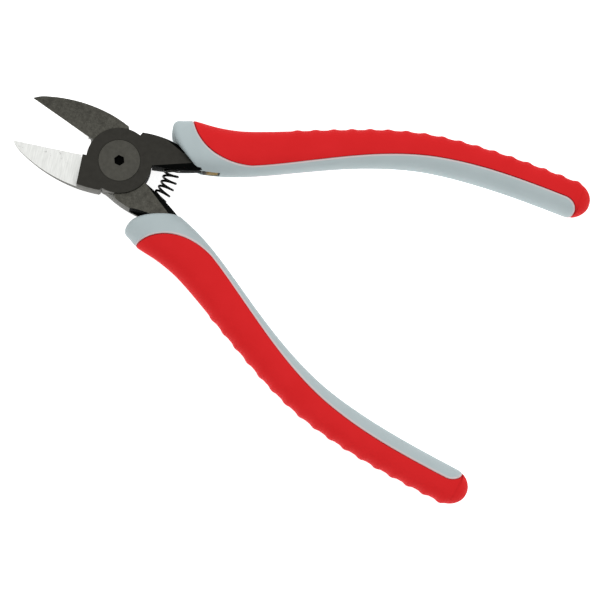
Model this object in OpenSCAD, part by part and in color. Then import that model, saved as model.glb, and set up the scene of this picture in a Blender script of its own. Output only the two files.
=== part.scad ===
// Side cutting nippers with lapped blades: two forged halves, alike but for a stop pad, on a pivot screw,
// a coil spring between the tangs and a two-colour moulded grip on each tang.
// Shared frame, mm: origin on the pivot axis at the rear boss face, +X to the handles,
// +Y to the upper handle, +Z along the pivot axis out of the front face.
// Each half is drawn closed, its edge on the -X axis and its front to +Z, then opened.

/* [Joint] */
// Rest opening of each half from the closed line, degrees
half_open = 12.75; // [10:0.25:14]
// Thickness of the joint over both boss faces
head_t = 8; // [7.4:0.1:8.6]
// Radius of each round boss
boss_r = 8.8; // [8.5:0.1:9]
// Radial clearance round each boss
boss_clear = 0.3; // [0.2:0.05:0.4]
// Gap between the two lap faces
lap_gap = 0.04; // [0.02:0.01:0.1]
// Depth of the jaw and tang backs under the boss face
back_step = 0.5; // [0.3:0.1:0.8]

/* [Jaw] */
// Pivot to blade tip
tip_x = 28.85; // [26:0.05:31]
// Pivot to the ledge wall in front of the ground blade face
ledge_x = 9.83; // [9.6:0.01:10]
// Pivot to the rear end of the cutting edge
edge_x = 10.3; // [10.2:0.05:11]
// Lap of each cutting edge past the closed line
edge_over = 0.12; // [0:0.02:0.2]
// Relief of the jaw root behind the edge line
root_relief = 0.42; // [0.4:0.02:0.8]
// Radius of the jaw spine
spine_r = 39.5; // [36:0.5:44]
// Greatest depth of the jaw below its edge
jaw_depth = 8.98; // [8.7:0.02:9.4]
// Pivot to the deepest place of the spine
spine_x = 4.47; // [4:0.01:5]
// Radius of the nose
nose_r = 9; // [7:0.5:14]
// Length of the nose arc along the edge
nose_len = 3.05; // [2:0.05:4]
// Pivot to the rear wall of the jaw
jaw_rear_x = 3.2; // [3:0.05:3.6]
// Corner between rear wall and spine
jaw_corner = 0.4; // [0.2:0.05:0.6]
// Blade thickness at the tip
tip_t = 0.8; // [0.6:0.1:2.4]
// Pivot to the start of the blade taper
taper_x = 9; // [8.9:0.1:12]
// Relief of the wall under the cutting edge, degrees
edge_relief = 5; // [1:0.5:6]
// Height of the square land under the cutting edge
edge_land = 0.1; // [0.05:0.05:0.3]

/* [Tang] */
// Corner of the opening stop, x and y
shoulder = [4.58, 8.72]; // [0:0.01:20]
// Start of the straight stop pad that fills the rear half's corner, x and y
stop_pad = [1.4, 8.53]; // [0:0.01:20]
// Cut of the stop's corner on the back, along the outer side and down the wall
corner_cut = [0.72, 0.72]; // [0.3:0.02:0.9]
// Arc of the outer side, centre x, centre y and radius
outer_arc = [6.29, -19.22, 28]; // [-30:0.01:40]
// End of the outer arc
outer_end_x = 14.3; // [13:0.1:15]
// Bends of the outer side inside the grip
outer_bends = [[19, 8.7], [25, 10.2]]; // [0:0.1:40]
// End of the full-thickness tang, x at 4 below and at 12 above the closed line
head_end = [27.6, 13.4]; // [12:0.1:32]
// Start of the inner side
inner_start = [8.6, 0.55]; // [0:0.01:20]
// Bend point of the inner side
inner_bend = [15.2, 0.5]; // [0:0.01:20]
// End of the inner side
inner_end = [22, 2.35]; // [0:0.01:30]
// Start of the shank inside the grip, x and y of its centre
shank_start = [33, 9.9]; // [0:0.1:40]
// End of the shank inside the grip, x and y of its centre
shank_end = [70, 19]; // [0:0.1:80]
// Shank width at its start and end
shank_w = [5, 4]; // [3:0.1:6]
// Shank thickness
shank_t = 5.2; // [4.4:0.1:5.6]
// Start of the inner bevel on the face
bevel_start = [9.2, 0.62]; // [0:0.01:20]
// Direction of the inner bevel, degrees
bevel_dir = 15.75; // [14:0.25:18]
// Start of the short scoop on the front face
scoop_start = [12.3, 7.95]; // [0:0.01:20]
// Direction of the short scoop, degrees
scoop_dir = -24.5; // [-26:0.5:-20]
// Length of the short scoop
scoop_len = 4.6; // [4:0.1:5]
// Start, bend and end of the deep scoop in the back face
deep_scoop = [[9.3, 9.05], [10.6, 7.5], [17, 5.95]]; // [0:0.01:20]
// Ledge left in front of the deep scoop
scoop_ledge = 1.8; // [1.4:0.1:2.4]
// Slope of bevel and short scoop under the face, degrees
bevel_slope = 45; // [35:1:55]

/* [Pivot screw] */
// Radius of the flat head
screw_head_r = 5.55; // [5.2:0.05:5.8]
// Thickness of the flat head
screw_head_t = 1.96; // [1.6:0.02:2.2]
// Radial clearance round the head
screw_head_clear = 0.25; // [0.15:0.05:0.4]
// Gap under the head
screw_seat_gap = 0.04; // [0.02:0.01:0.1]
// Radius of the running shoulder
screw_shank_r = 3.2; // [2.8:0.1:3.6]
// Running clearance on the radius
screw_run = 0.03; // [0.02:0.01:0.1]
// Radius of the end fixed in the rear half
screw_end_r = 2.5; // [2:0.1:2.7]
// Socket width across flats
hex_af = 2.5; // [2:0.5:3]
// Socket depth
hex_depth = 3; // [1:0.1:3.2]

/* [Return spring] */
// Pivot to the spring axis
spring_r = 14.25; // [13.9:0.05:14.6]
// Mean radius of the coil
coil_r = 1.9; // [1.75:0.01:1.95]
// Wire diameter
wire_d = 0.66; // [0.5:0.02:0.8]
// Number of coils
coils = 7.7; // [6.8:0.1:8]
// Turn of the wire at its lower end, degrees
coil_start = -180; // [-180:1:180]
// Depth of each pocket floor beyond the closed line
pocket_floor = 4.4; // [4:0.1:5]
// Clearance round the coil in its pocket
pocket_clear = 0.28; // [0.2:0.02:0.4]
// Gap between a wire end and its pocket floor
spring_end_gap = 0.05; // [0.02:0.01:0.3]

/* [Grip] */
// Mouth of the centre line: x, y and slope
grip_k0 = [20.9, 8.08, 0]; // [-1:0.01:30]
// Rise of the centre line: x, y and slope
grip_k1 = [47, 13.26, 0.28]; // [-1:0.01:60]
// Crown of the centre line: x, y and slope
grip_k2 = [84, 20.18, 0]; // [-1:0.01:100]
// End of the centre line: x, y and slope
grip_k3 = [122, 16.1, -0.17]; // [-1:0.01:130]
// Half width at the mouth, the waist and the end
grip_w = [6.42, 5.1, 4.8]; // [4:0.05:8]
// Half thickness at the mouth, the waist and the end
grip_t = [6.6, 6.1, 5.8]; // [5:0.05:7]
// Stretch over which mouth size fades to waist size
fade_x = [13, 66]; // [10:1:70]
// Front of the collar
mouth_x = 12.1; // [11.8:0.1:12.6]
// Lag of the collar's inner side behind its outer side
mouth_lag = 8.6; // [8:0.1:9]
// End of the slanted stretch behind the mouth
mouth_fade_x = 32; // [30:1:36]
// Rounding of the collar lip
lip_r = 1.7; // [1:0.1:1.8]
// Flare of the outer side at the front edge of the cover
flare_h = 0.85; // [0:0.05:1]
// End of the grip
grip_end_x = 127.5; // [124:0.5:130]
// Length of the rounded end
grip_round = 5.4; // [4.5:0.1:6]
// Squareness of the grip section
sec_n = 2.5; // [2.2:0.1:3]

/* [Grip cover] */
// Thickness of the outer cover
cover_t = 1.6; // [1.2:0.1:1.8]
// Fit gap between cover and core
cover_gap = 0.1; // [0.05:0.01:0.15]
// Front of the cover on the outer side
cover_x = 17.2; // [16.5:0.1:18]
// Place where the front sweep meets the long boundary
sweep_x = 34; // [32:0.5:36]
// Sweep handles: x and share of half width, front one
sweep_h1 = [17.9, 0.3]; // [-1:0.05:40]
// Sweep handles: x and share of half width, rear one
sweep_h2 = [25.5, -0.55]; // [-1:0.05:40]
// Share of half width at the sweep end and at the grip end
edge_q = [-0.7, -0.21]; // [-0.9:0.01:0]
// Place where the boundary settles
settle_x = 105; // [90:1:112]
// End of the bare strip
strip_end_x = 123.9; // [122.5:0.1:124.5]
// Length of the rounded strip corner
strip_corner = 4; // [3:0.1:5]
// Number of ribs
ribs = 17; // [14:1:17]
// First rib
rib_x = 46.6; // [44:0.1:48]
// Rib pitch
rib_pitch = 4.72; // [4.4:0.02:4.74]
// Rib height at the first and at the last rib
rib_h = [0.3, 0.42]; // [0.1:0.05:0.7]
// Rib width at its foot
rib_w = 3.4; // [2.6:0.1:4]

/* [Glue] */
// Clearance round the tang inside the grip
tang_fit = 0.12; // [0.08:0.01:0.2]
// End of the open slot in the collar's inner side
slot_end_x = 27; // [25:0.1:28]
// Glue bead start
bead_x = 22.4; // [22:0.1:23]
// Gap between the glue bead and the slot's walls
bead_gap = 0.05; // [0.03:0.01:0.1]

/* [Hidden] */
lay = head_t / 2;
back_z = lay - back_step;
round_r = boss_r + boss_clear;
sec_e = 2 / sec_n;
circle_n = 96;

// Placing of the two halves in the shared frame
module front_place() {
    translate([0, 0, lay]) rotate([0, 0, half_open]) children();
}
module rear_place() {
    translate([0, 0, lay]) rotate([180, 0, 0]) rotate([0, 0, half_open]) children();
}

// Small helpers
function arc(c, r, a0, a1, n) = [for (i = [0:n]) let (a = a0 + (a1 - a0) * i / n) c + r * [cos(a), sin(a)]];
function bend(a, b, c, n) = [for (i = [0:n]) let (t = i / n)
    a * pow(1 - t, 2) + b * 2 * t * (1 - t) + c * t * t];
function smooth(t) = let (u = min(1, max(0, t))) u * u * (3 - 2 * u);
function spow(v, e) = sign(v) * pow(abs(v), e);
function hermite(k, l, x) = let (d = l.x - k.x, t = (x - k.x) / d)
    k.y * (1 + 2 * t) * pow(1 - t, 2) + l.y * t * t * (3 - 2 * t)
    + d * (k.z * t * pow(1 - t, 2) - l.z * t * t * (1 - t));

// Jaw outline: spine arc, nose arc, edge line and relieved root
spine_c = [-spine_x, spine_r - jaw_depth];
nose_a = -90 - asin((tip_x - nose_len - spine_x) / spine_r);
corner_a = -90 + asin((spine_x - jaw_rear_x - jaw_corner) / spine_r);
nose_p = spine_c + spine_r * [cos(nose_a), sin(nose_a)];
tip_p = [-tip_x, edge_over];
nose_d = nose_p - tip_p;
nose_h = sqrt(nose_r * nose_r - nose_d * nose_d / 4);
nose_c = (nose_p + tip_p) / 2 + [-nose_d.y, nose_d.x] / norm(nose_d) * nose_h;
function turn(p, c) = atan2(p.y - c.y, p.x - c.x);
function low(a) = a > 0 ? a - 360 : a;
module jaw_plan() {
    polygon(concat(
        [[-jaw_rear_x, -boss_r / 2], [-jaw_rear_x, jaw_corner - jaw_depth]],
        arc(spine_c, spine_r, corner_a, nose_a, 24),
        arc(nose_c, nose_r, low(turn(nose_p, nose_c)), low(turn(tip_p, nose_c)), 8),
        [[-edge_x, edge_over], [-edge_x, -root_relief], [-boss_r / 2, -root_relief]]));
}

// Tang outline, grown by a fit where it forms the pocket in the grip
function shank_n() = let (d = shank_end - shank_start) [-d.y, d.x] / norm(d);
module tang_plan(grow = 0) {
    outer_a = [for (x = [shoulder.x, outer_end_x]) acos((x - outer_arc.x) / outer_arc.z)];
    up = [0, grow];
    polygon(concat(
        [[0, boss_r / 2], shoulder * 0.86 + up],
        [for (p = arc([outer_arc.x, outer_arc.y], outer_arc.z, outer_a[0], outer_a[1], 10)) p + up],
        [outer_bends[0] + up, outer_bends[1] + up, shank_start + shank_n() * (shank_w[0] / 2 + grow)],
        [shank_end + shank_n() * (shank_w[1] / 2 + grow) + [grow, 0]],
        [shank_end - shank_n() * (shank_w[1] / 2 + grow) + [grow, 0]],
        [shank_start - shank_n() * (shank_w[0] / 2 + grow)],
        [for (p = bend(inner_end, inner_bend, inner_start, 12)) p - up],
        [[boss_r / 2, 0]]));
}
// The full-thickness part of the tang ends just inside the collar
module tang_head_plan(grow = 0) {
    intersection() {
        tang_plan(grow);
        polygon([[0, -4], [head_end[0] + grow, -4], [head_end[1] + grow, 12], [0, 12]]);
    }
}

// Forged half without its bore: boss, root and tang, ground blade, shank
module half_body() {
    difference() {
        union() {
            translate([0, 0, lap_gap / 2]) cylinder(r = boss_r, h = lay - lap_gap / 2, $fn = circle_n);
            translate([0, 0, -back_z]) linear_extrude(lay + back_z) tang_head_plan();
            translate([0, 0, -back_z]) linear_extrude(lay + back_z) intersection() {
                jaw_plan();
                translate([-ledge_x, -20]) square([20, 40]);
            }
            translate([0, 0, -back_z]) linear_extrude(back_z - lap_gap / 2) jaw_plan();
            translate([0, 0, -shank_t / 2]) linear_extrude(shank_t) intersection() {
                tang_plan();
                translate([12, -5]) square([80, 40]);
            }
        }
        // seat for the other half's boss
        translate([0, 0, -head_t]) cylinder(r = round_r, h = head_t + lap_gap / 2, $fn = circle_n);
        blade_cuts();
        tang_cuts();
    }
}
// Taper of the blade's outer face and relief under its edge
module blade_cuts() {
    fall = atan((back_z - tip_t) / (tip_x - taper_x));
    translate([-taper_x, 0, -back_z]) rotate([0, fall, 0]) translate([-30, -20, -10]) cube([30, 40, 10]);
    translate([-tip_x - 5, edge_over, -lap_gap / 2 - edge_land]) rotate([-edge_relief, 0, 0])
        translate([0, 0, -10]) cube([tip_x + 5 - edge_x + root_relief / 2, 10, 10]);
}
// Bevels, scoops and spring pocket of the tang
module tang_cuts() {
    for (s = [1, -1]) scale([1, 1, s]) {
        face = s > 0 ? lay : back_z;
        translate([bevel_start.x, bevel_start.y, face]) rotate([0, 0, bevel_dir])
            rotate([bevel_slope, 0, 0]) translate([0, -15, 0]) cube([30, 18, 8]);
    }
    translate([scoop_start.x, scoop_start.y, lay]) rotate([0, 0, scoop_dir]) rotate([-bevel_slope, 0, 0])
        translate([0, -3, 0]) cube([scoop_len, 12, 8]);
    translate([0, 0, -head_t]) linear_extrude(head_t + lay - scoop_ledge) polygon(concat(
        bend(deep_scoop[0], deep_scoop[1], deep_scoop[2], 10),
        [[deep_scoop[2].x, 12], [deep_scoop[0].x, 12]]));
    translate([0, 0, -head_t]) linear_extrude(head_t) polygon([shoulder + [-1, -corner_cut.y],
        shoulder + [-corner_cut.y / 2, -corner_cut.y], shoulder + [corner_cut.x, 0.04],
        shoulder + [corner_cut.x, 3], shoulder + [-1, 3]]);
    translate([spring_r, -2, 0]) rotate([-90, 0, 0])
        cylinder(r = coil_r + wire_d / 2 + pocket_clear, h = pocket_floor + 2, $fn = 48);
}

module front_half() {
    color("dimgray") front_place() difference() {
        half_body();
        cylinder(r = screw_shank_r + screw_run, h = head_t, $fn = circle_n);
        translate([0, 0, lay - screw_head_t - screw_seat_gap])
            cylinder(r = screw_head_r + screw_head_clear, h = head_t, $fn = circle_n);
    }
}
module rear_half() {
    color("dimgray") rear_place() difference() {
        union() {
            half_body();
            translate([0, 0, lap_gap / 2]) linear_extrude(lay - lap_gap / 2)
                polygon([stop_pad, shoulder, [shoulder.x + 0.5, boss_r / 2], [stop_pad.x, boss_r / 2]]);
        }
        cylinder(r = screw_end_r, h = head_t, $fn = circle_n);
    }
}

// Flat-headed shoulder screw, its end fixed in the rear half
module pivot_screw() {
    color("darkslategray") translate([0, 0, lay]) difference() {
        union() {
            translate([0, 0, -lay]) cylinder(r = screw_end_r, h = lay, $fn = circle_n);
            translate([0, 0, -lap_gap / 2]) cylinder(r = screw_shank_r, h = lay - 1, $fn = circle_n);
            translate([0, 0, lay - screw_head_t])
                cylinder(r = screw_head_r, h = screw_head_t, $fn = circle_n);
        }
        translate([0, 0, lay - hex_depth]) cylinder(r = hex_af / 2 / cos(30), h = hex_depth + 1, $fn = 6);
    }
}

// Spring axis: an arc about the pivot between the pockets, straight inside them
arc_half = spring_r * half_open * PI / 180;
axis_half = arc_half + pocket_floor - spring_end_gap;
function axis_frame(l) = let (
        m = min(arc_half, max(-arc_half, l)),
        a = m / spring_r * 180 / PI,
        n = [cos(a), sin(a), 0],
        t = [-sin(a), cos(a), 0])
    [spring_r * n + (l - m) * t, n];
function coil_point(l, turn_a) = let (
        f = axis_frame(l),
        out = cos(turn_a) * f[1] + sin(turn_a) * [0, 0, 1])
    [f[0] + coil_r * out, out];
wind_half = axis_half - 1.5 * wire_d;
wind_n = ceil(coils * 8);
coil_end = coil_start - 360 * coils;
coil_path = concat(
    [coil_point(-axis_half, coil_start), coil_point(-axis_half + wire_d, coil_start)],
    [for (i = [0:wind_n]) let (f = i / wind_n)
        coil_point(wind_half * (2 * f - 1), coil_start - 360 * coils * f)],
    [coil_point(axis_half - wire_d, coil_end), coil_point(axis_half, coil_end)]);
path_n = len(coil_path);
function path_dir(i) = let (
        first = i < 2,
        last = i > path_n - 3,
        d = first ? coil_path[1][0] - coil_path[0][0]
          : last ? coil_path[path_n - 1][0] - coil_path[path_n - 2][0]
          : coil_path[i + 1][0] - coil_path[i - 1][0])
    d / norm(d);
function wire_ring(i) = let (
        t = path_dir(i),
        e = coil_path[i][1] - t * (coil_path[i][1] * t),
        u = e / norm(e),
        v = cross(t, u))
    [for (k = [0:5]) coil_path[i][0] + wire_d / 2 * (cos(60 * k) * u + sin(60 * k) * v)];
module return_spring() {
    pts = [for (i = [0:path_n - 1]) each wire_ring(i)];
    sides = [for (i = [0:path_n - 2], k = [0:5]) let (a = 6 * i + k, b = 6 * i + (k + 1) % 6)
        each [[a, a + 6, b], [b, a + 6, b + 6]]];
    ends = [for (k = [1:4]) each [[0, k, k + 1], let (z = 6 * path_n - 6) [z, z + k + 1, z + k]]];
    color("black") translate([0, 0, lay]) polyhedron(pts, concat(sides, ends), 4);
}
spring_gap = min([for (i = [3:path_n - 12], j = [i + 6:min(path_n - 3, i + 11)])
    norm(coil_path[i][0] - coil_path[j][0])]) - wire_d;
echo(spring_least_gap = spring_gap);

// Grip surface: centre line, half width and half thickness along x, rounded at the end
function mid_y(x) = x < grip_k0.x ? grip_k0.y + grip_k0.z * (x - grip_k0.x)
    : x < grip_k1.x ? hermite(grip_k0, grip_k1, x)
    : x < grip_k2.x ? hermite(grip_k1, grip_k2, x)
    : x < grip_k3.x ? hermite(grip_k2, grip_k3, x)
    : grip_k3.y + grip_k3.z * (x - grip_k3.x);
function mid_n(x) = let (m = (mid_y(x + 0.1) - mid_y(x - 0.1)) / 0.2) [-m, 1] / sqrt(1 + m * m);
function sized(v, x) = let (t = (x - fade_x[0]) / (fade_x[1] - fade_x[0]))
    v[0] + (v[1] - v[0]) * smooth(t) + (v[2] - v[1]) * max(0, x - fade_x[1]) / (grip_end_x - fade_x[1]);
function end_k(x) = let (t = (x - grip_end_x + grip_round) / grip_round)
    t > 0 ? sqrt(max(0, 1 - t * t)) : 1;
function lag(x) = mouth_lag * (1 - smooth((x - mouth_x) / (mouth_fade_x - mouth_x)));
function slant(x, q) = x + lag(x) * pow((1 - q) / 2, 2.2);
function flare(x) = let (crest = cover_x + 1)
    flare_h * (x < crest ? smooth((x - mouth_x - 1) / (crest - mouth_x - 1))
        : pow(max(0, (mouth_fade_x - x) / (mouth_fade_x - crest)), 1.2));
function skin(x, psi, inset, lift) = let (
        q = spow(cos(psi), sec_e),
        n = mid_n(x),
        out = lift + flare(x) * max(0, q),
        w = (sized(grip_w, x) * end_k(x) - inset + out) * q)
    [x + w * n.x, mid_y(x) + w * n.y, (sized(grip_t, x) * end_k(x) - inset) * spow(sin(psi), sec_e)];
function skin_at(x, psi, inset) = skin(slant(x, spow(cos(psi), sec_e)), psi, inset, 0);

// Colour boundary: front sweep as a curve of x and share, then the long stretch and the end corner
function sweep(t) = [cover_x, 1] * pow(1 - t, 3) + sweep_h1 * 3 * t * pow(1 - t, 2)
    + sweep_h2 * 3 * t * t * (1 - t) + [sweep_x, edge_q[0]] * pow(t, 3);
function angle_of(q) = acos(spow(q, 1 / sec_e));
function edge_share(x) = edge_q[0] + (edge_q[1] - edge_q[0]) * smooth((x - sweep_x) / (settle_x - sweep_x));
function corner_share(x) = let (t = max(0, (x - strip_end_x + strip_corner) / strip_corner))
    -1 + (1 + edge_share(x)) * sqrt(max(0, 1 - t * t));
function edge_angle(x) = angle_of(corner_share(x));
sweep_t = [0.05, 0.1, 0.17, 0.26, 0.37, 0.49, 0.61, 0.73, 0.86, 1];
function ring_for(p, lo, hi, k) = let (m = (lo + hi) / 2)
    k == 0 ? m : slant(m, p[1]) > p[0] ? ring_for(p, lo, m, k - 1) : ring_for(p, m, hi, k - 1);

// Core: lip, collar, sweep, long stretch and end,
// each ring [x, boundary angle, depth under the cover, lip inset]
sink = cover_t + cover_gap;
front_angle = angle_of(sweep(sweep_t[0])[1]);
core_rings = concat(
    [[mouth_x, front_angle, 0, lip_r], [mouth_x + 0.3 * lip_r, front_angle, 0, 0.3 * lip_r]],
    [for (x = [mouth_x + lip_r, 14.6, 15.6, 16.5, ring_for(sweep(0), 10, 40, 30)]) [x, front_angle, 0, 0]],
    [for (t = sweep_t) let (p = sweep(t)) [ring_for(p, 10, 40, 30), angle_of(p[1]), sink, 0]],
    [for (x = [38, 42, 47, 52, 57, 63, 69, 75, 81, 87, 93, 99, 105, 110, 115, strip_end_x - strip_corner])
        [x, edge_angle(x), sink, 0]],
    [for (f = [0.35, 0.65, 0.85, 0.97]) let (x = strip_end_x - strip_corner * (1 - f))
        [x, edge_angle(x), sink, 0]]);
function core_top(r) = concat(
    [for (i = [0:6]) skin_at(r[0], 180 + (r[1] - 180) * i / 6, r[3])],
    [for (i = [0:6]) skin_at(r[0], (r[1] - 1.5) * (1 - i / 6), r[2] + r[3])]);
function mirrored(p) = [p.x, p.y, -p.z];
function core_ring(r) = let (p = core_top(r)) concat(p, [for (i = [12:-1:1]) mirrored(p[i])]);
module grip_core_skin() {
    n = 26;
    m = len(core_rings);
    pts = [for (r = core_rings) each core_ring(r)];
    sides = [for (j = [0:m - 2], i = [0:n - 1]) let (a = n * j + i, b = n * j + (i + 1) % n)
        each [[a, a + n, b], [b, a + n, b + n]]];
    caps = [for (i = [0:12], j = [0, m - 1])
        let (z = n * j, a = z + i, b = z + i + 1, c = z + (n - i) % n, d = z + n - i - 1)
        each i == 0 ? [j == 0 ? [a, b, d] : [a, d, b]]
           : i == 12 ? [j == 0 ? [a, b, c] : [a, c, b]]
           : j == 0 ? [[a, b, c], [b, d, c]] : [[a, c, b], [b, c, d]]];
    polyhedron(pts, concat(sides, caps), 4);
}
// Pocket for the tang, open at the mouth and along the slot in the inner side
module tang_pocket() {
    translate([0, 0, -back_z - tang_fit]) linear_extrude(lay + back_z + 2 * tang_fit)
        tang_head_plan(tang_fit);
    translate([0, 0, -shank_t / 2 - tang_fit]) linear_extrude(shank_t + 2 * tang_fit) union() {
        intersection() {
            tang_plan(tang_fit);
            translate([8, -5]) square([90, 40]);
        }
        polygon([[18, -2], [slot_end_x, -2], [slot_end_x, 6], [18, 3]]);
    }
}
module grip_core() {
    difference() {
        grip_core_skin();
        tang_pocket();
    }
}
module upper_core() {
    color("silver") front_place() grip_core();
}
module lower_core() {
    color("silver") rear_place() grip_core();
}

// Cover: a sheet that wraps the outer side and closes over the end, with ribs on its outer side
function rib(x) = let (
        k = min(ribs - 1, max(0, round((x - rib_x) / rib_pitch))),
        d = abs(x - rib_x - k * rib_pitch) / rib_w)
    d < 0.5 ? (rib_h[0] + (rib_h[1] - rib_h[0]) * k / (ribs - 1)) * pow(cos(180 * d), 2) : 0;
function rib_fade(psi) = 1 - smooth((abs(psi) - 45) / 40);
corner_x = strip_end_x - strip_corner;
cover_rings = concat(
    [for (t = sweep_t) let (p = sweep(t)) [p[0], angle_of(p[1])]],
    [for (x = [38, 41.5]) [x, edge_angle(x)]],
    [for (k = [0:ribs * 4 - 1]) let (x = rib_x + (k / 4 - 0.5) * rib_pitch)
        if (x < corner_x - 0.3) [x, edge_angle(x)]],
    [for (f = [0, 0.3, 0.55, 0.75, 0.9, 1]) let (x = corner_x + strip_corner * f) [x, edge_angle(x)]]);
open_n = len(cover_rings) - 1;
cap_x = [for (f = [0.25, 0.5, 0.7, 0.85, 0.95, 0.99]) strip_end_x + (grip_end_x - strip_end_x) * f];
arcs = 12;
function cover_at(r, i, inset) = let (
        b = r[1] == 180 ? 180 : r[1] - 1,
        psi = b * (2 * i / arcs - 1))
    skin(r[0], psi, inset, inset > 0 ? 0 : rib(r[0]) * rib_fade(psi));
module grip_cover() {
    outer_rings = concat(cover_rings, [for (x = cap_x) [x, 180]]);
    no = len(outer_rings);
    w = arcs + 1;
    base = no * w;
    pts = concat(
        [for (r = outer_rings, i = [0:arcs]) cover_at(r, i, 0)],
        [for (r = cover_rings, i = [0:arcs]) cover_at(r, i, cover_t)]);
    outer = [for (j = [0:no - 2], i = [0:arcs - 1]) let (a = w * j + i)
        each [[a, a + 1, a + w], [a + 1, a + w + 1, a + w]]];
    inner = [for (j = [0:open_n - 1], i = [0:arcs - 1]) let (a = base + w * j + i)
        each [[a, a + w, a + 1], [a + 1, a + w, a + w + 1]]];
    walls = [for (j = [0:open_n - 1]) let (a = w * j, b = base + w * j, c = a + arcs, d = b + arcs)
        each [[a, a + w, b], [b, a + w, b + w], [c, d, c + w], [d, d + w, c + w]]];
    front = [for (i = [0:arcs - 1]) each [[i, base + i, i + 1], [i + 1, base + i, base + i + 1]]];
    tip = fan(w * (no - 1));
    floor_cap = [for (f = fan(base + w * open_n)) [f[0], f[2], f[1]]];
    polyhedron(pts, concat(outer, inner, walls, front, tip, floor_cap), 4);
}
// Closes a full ring with strips between its upper and lower points
function fan(z) = [for (i = [0:arcs / 2 - 1])
    let (a = z + i, b = z + i + 1, c = z + arcs - i, d = z + arcs - i - 1)
    each i == 0 ? [[a, b, d]] : i == arcs / 2 - 1 ? [[a, b, c]] : [[a, b, c], [b, d, c]]];
module upper_cover() {
    color("firebrick") front_place() grip_cover();
}
module lower_cover() {
    color("firebrick") rear_place() grip_cover();
}

// Glue squeezed out in the slot between tang and collar
module glue_bead() {
    y0 = inner_end.y - tang_fit;
    end_x = slot_end_x - bead_gap;
    bead_h = shank_t + 2 * (tang_fit - bead_gap);
    translate([0, 0, -bead_h / 2]) linear_extrude(bead_h) polygon(concat(
        bend([bead_x, y0 - 0.2], [slot_end_x - 2, y0 - 0.1], [end_x, y0 + 0.57], 6),
        [[end_x, y0 + 1.9], [bead_x, y0 + 0.05]]));
}
module upper_glue() {
    color("goldenrod") front_place() glue_bead();
}
module lower_glue() {
    color("goldenrod") rear_place() glue_bead();
}

front_half();
rear_half();
pivot_screw();
return_spring();
upper_core();
upper_cover();
lower_core();
lower_cover();
upper_glue();
lower_glue();
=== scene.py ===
import math

import bmesh
import bpy
import numpy as np
from mathutils import Matrix, Vector
from mathutils.kdtree import KDTree


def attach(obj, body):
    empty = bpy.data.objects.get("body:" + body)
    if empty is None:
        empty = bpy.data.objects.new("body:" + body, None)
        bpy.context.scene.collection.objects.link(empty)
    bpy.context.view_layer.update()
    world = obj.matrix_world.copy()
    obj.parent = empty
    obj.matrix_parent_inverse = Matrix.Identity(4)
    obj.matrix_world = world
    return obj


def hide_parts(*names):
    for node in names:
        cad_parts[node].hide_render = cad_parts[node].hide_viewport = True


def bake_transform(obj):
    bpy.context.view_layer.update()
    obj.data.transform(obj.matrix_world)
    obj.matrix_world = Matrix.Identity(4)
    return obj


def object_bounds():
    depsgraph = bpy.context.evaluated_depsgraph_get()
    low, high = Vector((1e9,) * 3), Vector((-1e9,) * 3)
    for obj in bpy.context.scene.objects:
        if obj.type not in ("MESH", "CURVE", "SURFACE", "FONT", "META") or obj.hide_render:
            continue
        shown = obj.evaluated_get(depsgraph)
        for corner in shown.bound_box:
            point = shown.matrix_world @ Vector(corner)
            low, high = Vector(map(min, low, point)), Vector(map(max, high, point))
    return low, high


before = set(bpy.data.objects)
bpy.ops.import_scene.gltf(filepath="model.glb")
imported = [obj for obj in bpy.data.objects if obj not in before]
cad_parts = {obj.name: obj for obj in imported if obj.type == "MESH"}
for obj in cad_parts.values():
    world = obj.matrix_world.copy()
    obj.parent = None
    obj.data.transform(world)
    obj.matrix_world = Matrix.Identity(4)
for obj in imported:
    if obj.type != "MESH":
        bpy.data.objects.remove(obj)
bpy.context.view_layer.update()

# Forged halves: two tool-steel forgings of one shape, the second turned over and lapped on the first.
# Their boss faces are ground flat and the whole half is blackened in hot salts. The inner face of each
# blade is ground bright afterwards, so it shows bare steel with marks from edge to spine.
mm = 0.001
rest_turn = math.radians(12.75)  # each half stands open by this at rest
lap_height = 4.0  # of the plane where the halves lap, and the thickness of each boss
blade_start = 9.83  # root of the ground blade, ahead of the pivot
edge_start = blade_start + 0.3  # start of the cutting edge
tip_start = 27.0  # start of the blade's thin end
edge_y = -0.5  # walls of the blade above this y lie along its cutting edge
boss_r = 8.8
seats = ((9.1, 8.9), (5.8, 5.63))  # radii of the seats for boss and screw: as cut, and as closed up
jaw_rear = 3.2  # rear wall of the jaw, ahead of the pivot
stop_x = (3.9, 4.7)  # the wall that stops the opening
stop_y = 7.5
outer_arc = (6.29, -19.22, 28.12)  # outer side of the tang: centre x and y, radius
scoop_x = (9.3, 17.0)
scoop_y = 5.5
scoop_floor = 2.2
scoop_ends = (((12.3, 7.95, 4.0), (11.3, 8.15, 4.0)),  # corners of the scoop: as cut, and as dressed
              ((16.49, 6.04, 4.0), (16.49, 5.45, 4.0)))
inner_x = 7.0  # the inner wall of the tang lies behind this x and below this y
inner_y = 3.0
slack = 0.05  # in finding faces and corners
edge_break = 0.16
keen_share = 0.15  # of that width on the cutting edge
stoned_share = 0.3  # and round the bosses


def linear(colour):
    """An sRGB hex colour as linear red, green, blue and alpha."""
    srgb = [int(colour[i:i + 2], 16) / 255 for i in (1, 3, 5)]
    return [c / 12.92 if c <= 0.04045 else ((c + 0.055) / 1.055) ** 2.4 for c in srgb] + [1.0]


def add(tree, kind, inputs=None, **settings):
    """Adds one shader node; its inputs are plain values or other nodes' outputs.

    On a colour Mix, input 0 is the share, 6 and 7 are the two colours, and output 2 is the result.
    """
    new = tree.nodes.new("ShaderNode" + kind)
    for name, value in settings.items():
        setattr(new, name, value)
    for name, value in (inputs or {}).items():
        if isinstance(value, bpy.types.NodeSocket):
            tree.links.new(value, new.inputs[name])
        else:
            new.inputs[name].default_value = value
    return new


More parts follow.
